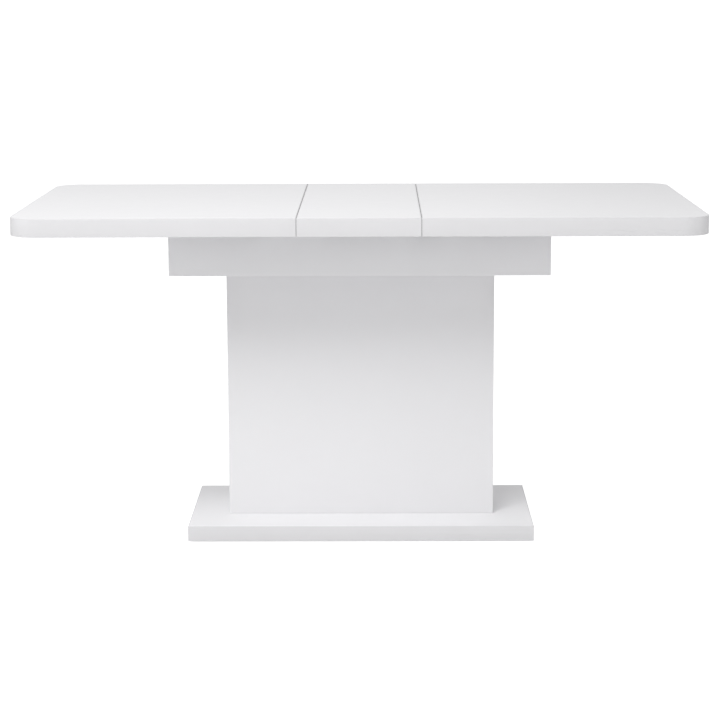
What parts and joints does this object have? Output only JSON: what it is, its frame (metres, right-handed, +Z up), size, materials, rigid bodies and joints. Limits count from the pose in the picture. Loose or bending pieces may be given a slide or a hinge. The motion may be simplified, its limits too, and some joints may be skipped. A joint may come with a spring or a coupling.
{
  "type": "extendable dining table",
  "caption": "White pedestal dining table whose half tops slide apart on geared rails and take a loose leaf between them",
  "frame": {"origin": "On the floor, under the centre of the table", "axes": "+X along the table to the right half, +Y to the back, +Z up"},
  "size_m": [1.5, 0.8, 0.758],
  "materials": {
    "white_laminate": "satin white melamine laminate on chipboard",
    "white_edge_band": "satin white plastic edge band",
    "raw_chipboard": "raw pressed chipboard",
    "beech": "planed beech",
    "zinc_steel": "zinc-plated steel",
    "nylon": "natural nylon",
    "felt": "grey-brown pressed felt",
    "black_rubber": "black rubber"
  },
  "bodies": {
    "root": {"base_plate": "white_laminate", "base_edge_band": "white_edge_band", "floor_glides": "felt", "base_bolts": "zinc_steel", "pedestal_front_panel": "white_laminate", "pedestal_back_panel": "white_laminate", "pedestal_side_panels": "white_laminate", "pedestal_stiffener": "raw_chipboard", "bottom_cleats": "beech", "top_cleats": "beech", "cam_fittings": "zinc_steel", "wood_dowels": "beech", "mounting_board": "white_laminate", "mounting_battens": "beech", "pedestal_top_screws": "zinc_steel", "apron_front": "white_laminate", "apron_back": "white_laminate", "apron_end_panels": "white_laminate", "corner_blocks": "beech", "frame_screws": "zinc_steel", "front_rail": "zinc_steel", "back_rail": "zinc_steel", "rail_stops": "black_rubber", "pinion_post": "zinc_steel", "pinion_retainer": "zinc_steel", "rack_guides": "nylon", "support_pads": "felt"},
    "pinion": {"sync_pinion": "nylon"},
    "left_half": {"left_deck_board": "white_laminate", "left_long_strips": "white_laminate", "left_cross_strips": "white_laminate", "left_edge_band": "white_edge_band", "left_front_runner": "zinc_steel", "left_back_runner": "zinc_steel", "left_slide_shoes": "nylon", "left_rack": "nylon", "left_rack_block": "zinc_steel", "left_top_screws": "zinc_steel", "left_latch_plates": "zinc_steel"},
    "right_half": {"right_deck_board": "white_laminate", "right_long_strips": "white_laminate", "right_cross_strips": "white_laminate", "right_edge_band": "white_edge_band", "right_front_runner": "zinc_steel", "right_back_runner": "zinc_steel", "right_slide_shoes": "nylon", "right_rack": "nylon", "right_rack_block": "zinc_steel", "right_top_screws": "zinc_steel", "right_latch_plates": "zinc_steel"},
    "leaf": {"leaf_deck_board": "white_laminate", "leaf_long_strips": "white_laminate", "leaf_cross_strips": "white_laminate", "leaf_edge_band": "white_edge_band", "leaf_seals": "black_rubber", "leaf_latch_studs": "zinc_steel"},
    "left_front_lever": {"left_front_latch": "zinc_steel"},
    "left_back_lever": {"left_back_latch": "zinc_steel"},
    "right_front_lever": {"right_front_latch": "zinc_steel"},
    "right_back_lever": {"right_back_latch": "zinc_steel"}
  },
  "joints": [
    {"name": "left_half_slide", "type": "slide", "parent": "root", "child": "left_half", "axis": [1, 0, 0], "range_m": [0, 0.1335]},
    {"name": "right_half_slide", "type": "slide", "parent": "root", "child": "right_half", "axis": [-1, 0, 0], "range_m": [0, 0.1335]},
    {"name": "pinion_turn", "type": "hinge", "parent": "root", "child": "pinion", "pos_m": [0, 0, 0.696], "axis": [0, 0, 1], "range_deg": [-320, 0]},
    {"name": "leaf_lift", "type": "slide", "parent": "root", "child": "leaf", "axis": [0, 0, 1], "range_m": [0, 0.56]},
    {"name": "left_front_latch_turn", "type": "hinge", "parent": "left_half", "child": "left_front_lever", "pos_m": [-0.15, -0.333, 0.7141], "axis": [0, 0, -1], "range_deg": [0, 90]},
    {"name": "left_back_latch_turn", "type": "hinge", "parent": "left_half", "child": "left_back_lever", "pos_m": [-0.15, 0.292, 0.7141], "axis": [0, 0, 1], "range_deg": [0, 90]},
    {"name": "right_front_latch_turn", "type": "hinge", "parent": "right_half", "child": "right_front_lever", "pos_m": [0.15, -0.292, 0.7141], "axis": [0, 0, 1], "range_deg": [0, 90]},
    {"name": "right_back_latch_turn", "type": "hinge", "parent": "right_half", "child": "right_back_lever", "pos_m": [0.15, 0.333, 0.7141], "axis": [0, 0, -1], "range_deg": [0, 90]}
  ],
  "couplings": [
    {"joint": "right_half_slide", "follows": "left_half_slide", "ratio": 1},
    {"joint": "pinion_turn", "follows": "left_half_slide", "rad_per_m": -41.667},
    {"joint": "leaf_lift", "follows": "left_half_slide", "ratio": 4}
  ]
}
